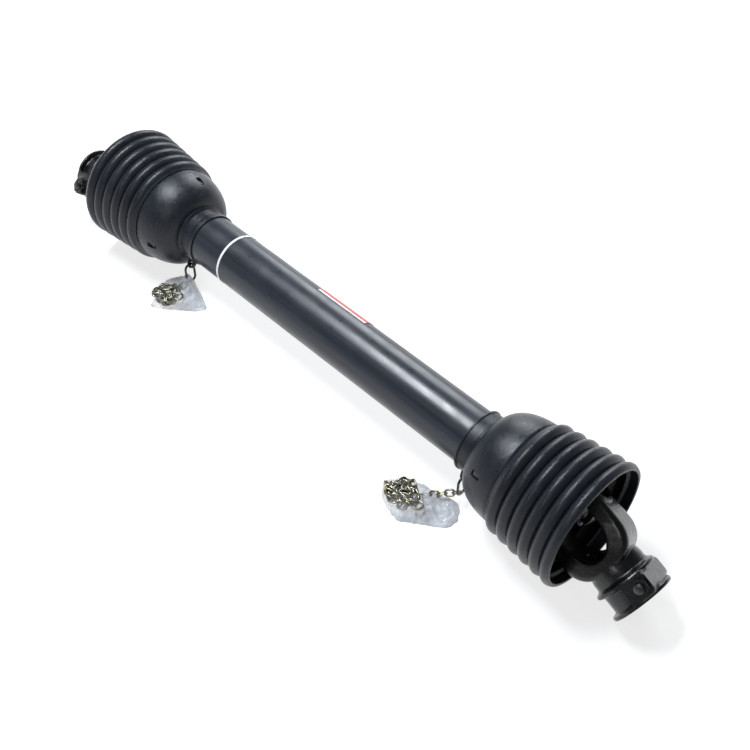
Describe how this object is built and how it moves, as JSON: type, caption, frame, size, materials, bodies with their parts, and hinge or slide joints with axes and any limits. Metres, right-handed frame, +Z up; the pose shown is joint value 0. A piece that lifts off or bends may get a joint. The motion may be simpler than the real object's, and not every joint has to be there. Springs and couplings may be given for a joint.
{
  "type": "universal joint shaft",
  "caption": "Telescopic drive shaft with a universal joint and splined quick-release yoke at each end, in a ribbed plastic safety guard.",
  "frame": {"origin": "on the floor, under the middle of the bounding box of the shaft as it lies closed", "axes": "+X along the shaft from the rear joint (inner tube) to the front joint (outer tube), +Z up from the floor"},
  "size_m": [0.997, 0.1807, 0.1602],
  "materials": {
    "guard_plastic": "grained moulded black plastic",
    "tube_plastic": "extruded black plastic, satin gloss, lightly scuffed",
    "black_enamel": "gloss black paint over forged steel",
    "bearing_steel": "ground bare steel",
    "tube_steel": "drawn steel, oiled",
    "nylon": "natural moulded nylon",
    "white_band": "white plastic band",
    "label_film": "red and white printed film, no text",
    "chain_zinc": "yellow zinc plate",
    "bag_film": "thin clear plastic film"
  },
  "bodies": {
    "front_guard": {"front_bell": "guard_plastic", "front_guard_dome": "guard_plastic", "front_bearing_ring": "nylon", "outer_guard_tube": "tube_plastic", "tube_end_ring": "guard_plastic", "marker_band": "white_band", "tube_label": "label_film"},
    "front_shaft": {"front_inner_yoke": "black_enamel", "front_roll_pin": "bearing_steel", "outer_drive_tube": "tube_steel", "front_inner_cup_a": "bearing_steel", "front_inner_cup_b": "bearing_steel", "front_inner_circlip_a": "bearing_steel", "front_inner_circlip_b": "bearing_steel"},
    "front_cross_body": {"front_cross": "bearing_steel", "front_grease_nipple": "bearing_steel"},
    "front_yoke": {"front_outer_yoke": "black_enamel", "front_pin_gland": "black_enamel", "front_outer_cup_a": "bearing_steel", "front_outer_cup_b": "bearing_steel", "front_outer_circlip_a": "bearing_steel", "front_outer_circlip_b": "bearing_steel"},
    "front_pin": {"front_lock_pin": "bearing_steel"},
    "front_chain": {"front_chain_hook": "black_enamel", "front_safety_chain": "chain_zinc", "front_chain_bag": "bag_film"},
    "rear_shaft": {"rear_inner_yoke": "black_enamel", "rear_roll_pin": "bearing_steel", "inner_drive_tube": "tube_steel", "rear_inner_cup_a": "bearing_steel", "rear_inner_cup_b": "bearing_steel", "rear_inner_circlip_a": "bearing_steel", "rear_inner_circlip_b": "bearing_steel"},
    "rear_guard": {"rear_bell": "guard_plastic", "rear_guard_dome": "guard_plastic", "rear_bearing_ring": "nylon", "inner_guard_tube": "tube_plastic"},
    "rear_cross_body": {"rear_cross": "bearing_steel", "rear_grease_nipple": "bearing_steel"},
    "rear_yoke": {"rear_outer_yoke": "black_enamel", "rear_pin_gland": "black_enamel", "rear_outer_cup_a": "bearing_steel", "rear_outer_cup_b": "bearing_steel", "rear_outer_circlip_a": "bearing_steel", "rear_outer_circlip_b": "bearing_steel"},
    "rear_pin": {"rear_lock_pin": "bearing_steel"},
    "rear_chain": {"rear_chain_hook": "black_enamel", "rear_safety_chain": "chain_zinc", "rear_chain_bag": "bag_film"}
  },
  "joints": [
    {"name": "front_shaft_spin", "type": "hinge", "parent": "front_guard", "child": "front_shaft", "pos_m": [0.00035, 0.01025, 0.08011], "axis": [1, 0, 0], "continuous": true},
    {"name": "telescope", "type": "slide", "parent": "front_shaft", "child": "rear_shaft", "axis": [-1, 0, 0], "range_m": [0, 0.25]},
    {"name": "rear_guard_spin", "type": "hinge", "parent": "rear_shaft", "child": "rear_guard", "pos_m": [0.00035, 0.01025, 0.08011], "axis": [1, 0, 0], "continuous": true},
    {"name": "front_cross_swing", "type": "hinge", "parent": "front_shaft", "child": "front_cross_body", "pos_m": [0.37335, 0.01025, 0.08011], "axis": [0, -0.7547, 0.6561], "range_deg": [-9, 46]},
    {"name": "front_yoke_swing", "type": "hinge", "parent": "front_cross_body", "child": "front_yoke", "pos_m": [0.37335, 0.01025, 0.08011], "axis": [0.3244, 0.6206, 0.7139], "range_deg": [-39, 16]},
    {"name": "front_pin_press", "type": "slide", "parent": "front_yoke", "child": "front_pin", "axis": [-0.1922, 0.7822, -0.5926], "range_m": [0, 0.008], "stiffness_N_per_m": 2500, "springref_m": -0.002},
    {"name": "rear_cross_swing", "type": "hinge", "parent": "rear_shaft", "child": "rear_cross_body", "pos_m": [-0.37265, 0.01025, 0.08011], "axis": [0, -0.7547, 0.6561], "range_deg": [-42, 13]},
    {"name": "rear_yoke_swing", "type": "hinge", "parent": "rear_cross_body", "child": "rear_yoke", "pos_m": [-0.37265, 0.01025, 0.08011], "axis": [0.2435, -0.6363, -0.732], "range_deg": [-36, 19]},
    {"name": "rear_pin_press", "type": "slide", "parent": "rear_yoke", "child": "rear_pin", "axis": [0.1386, 0.7698, -0.6231], "range_m": [0, 0.008], "stiffness_N_per_m": 2500, "springref_m": -0.002},
    {"name": "front_chain_swing", "type": "hinge", "parent": "front_guard", "child": "front_chain", "pos_m": [0.24935, -0.01684, 0.04544], "axis": [0, -0.788, 0.6157], "range_deg": [-25, 40]},
    {"name": "rear_chain_swing", "type": "hinge", "parent": "rear_guard", "child": "rear_chain", "pos_m": [-0.24865, -0.01684, 0.04544], "axis": [0, -0.788, 0.6157], "range_deg": [-18, 45]}
  ]
}
